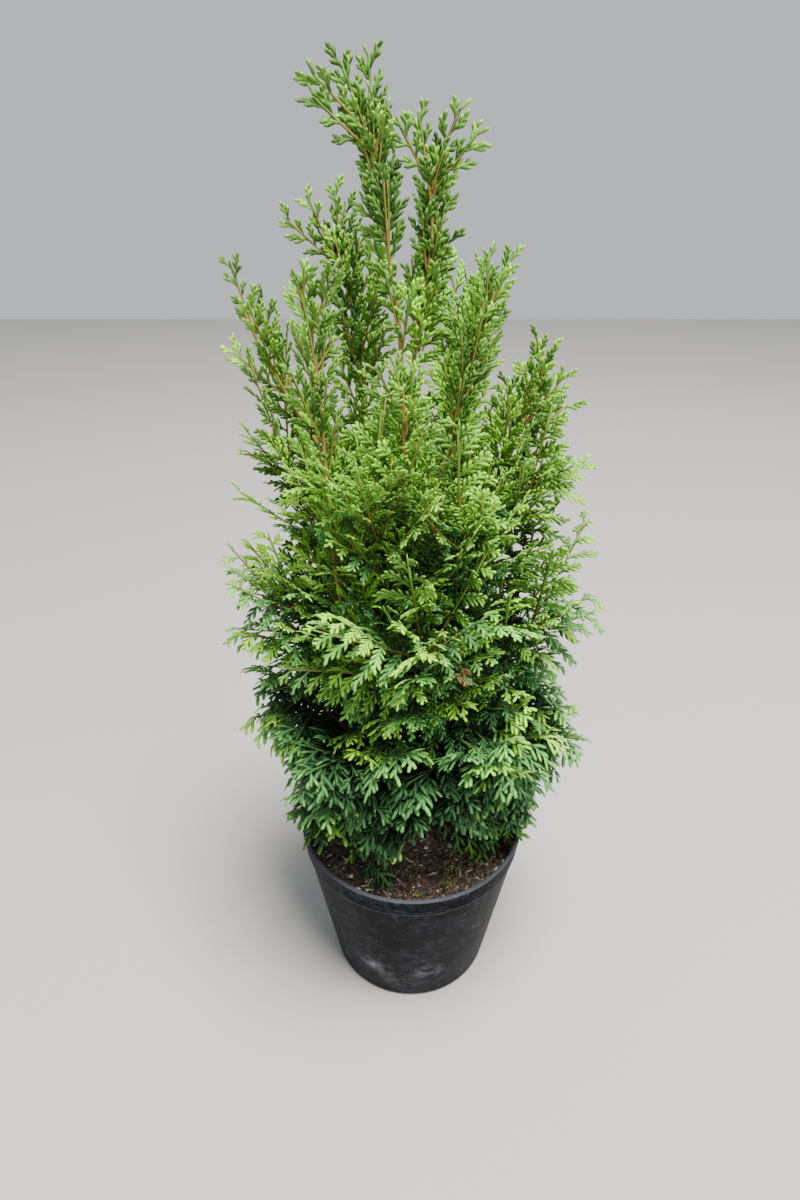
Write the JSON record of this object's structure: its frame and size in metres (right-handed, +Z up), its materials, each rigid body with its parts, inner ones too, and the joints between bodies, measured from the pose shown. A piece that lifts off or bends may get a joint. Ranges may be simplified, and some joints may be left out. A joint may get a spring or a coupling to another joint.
{
  "type": "potted thuja",
  "caption": "Young upright thuja with slim trunk, rising boughs and flat scale-leaf sprays, in a round tapered nursery pot filled with soil.",
  "frame": {"origin": "centre of the pot's flat underside, where it stands", "axes": "+Z up along the plant, +X to the right and +Y away from the camera in the picture's view"},
  "size_m": [0.2792, 0.2563, 0.6904],
  "materials": {
    "pot_plastic": "thin moulded black polypropylene, satin to matt, slightly dusty and scuffed",
    "peat": "moist dark brown peat substrate with light crumbs and small bits of bark",
    "bark": "old brown bark, finely furrowed along the stem",
    "young_bark": "smooth orange-brown to yellowish bark of this year's and last year's shoots",
    "foliage_low": "flat sprays of scale leaves, dark blue-green inside to bright yellow-green at the tips, satin",
    "foliage_high": "flat upright sprays of scale leaves, mid to bright yellow-green, satin"
  },
  "bodies": {
    "root": {"pot": "pot_plastic", "soil": "peat", "trunk": "bark", "bough_lower_1": "bark", "bough_lower_2": "bark", "bough_lower_3": "bark", "bough_lower_4": "bark", "bough_lower_5": "bark", "bough_lower_6": "bark", "bough_middle_1": "bark", "bough_middle_2": "bark", "bough_middle_3": "bark", "bough_middle_4": "bark", "bough_middle_5": "bark", "bough_upper_1": "bark", "bough_upper_2": "bark", "bough_upper_3": "bark", "bough_upper_4": "bark", "bough_upper_5": "bark", "bough_upper_6": "bark", "bough_left_shoot": "young_bark", "bough_far_left_shoot": "young_bark", "bough_back_left_shoot": "young_bark", "bough_back_right_shoot": "young_bark", "bough_right_shoot": "young_bark", "bough_far_right_shoot": "young_bark", "bough_front_shoot": "young_bark", "bough_left_leader": "young_bark", "bough_right_leader": "young_bark", "foliage_skirt_1": "foliage_low", "foliage_skirt_2": "foliage_low", "foliage_skirt_3": "foliage_low", "foliage_skirt_4": "foliage_low", "foliage_skirt_5": "foliage_low", "foliage_lower_1": "foliage_low", "foliage_lower_2": "foliage_low", "foliage_lower_3": "foliage_low", "foliage_lower_4": "foliage_low", "foliage_lower_5": "foliage_low", "foliage_lower_6": "foliage_low", "foliage_middle_1": "foliage_low", "foliage_middle_2": "foliage_low", "foliage_middle_3": "foliage_low", "foliage_middle_4": "foliage_low", "foliage_middle_5": "foliage_low", "foliage_upper_1": "foliage_low", "foliage_upper_2": "foliage_low", "foliage_upper_3": "foliage_low", "foliage_upper_4": "foliage_low", "foliage_upper_5": "foliage_low", "foliage_upper_6": "foliage_low", "foliage_left_shoot": "foliage_high", "foliage_far_left_shoot": "foliage_high", "foliage_back_left_shoot": "foliage_high", "foliage_back_right_shoot": "foliage_high", "foliage_right_shoot": "foliage_high", "foliage_far_right_shoot": "foliage_high", "foliage_front_shoot": "foliage_high", "foliage_left_leader": "foliage_high", "foliage_right_leader": "foliage_high"}
  },
  "joints": []
}
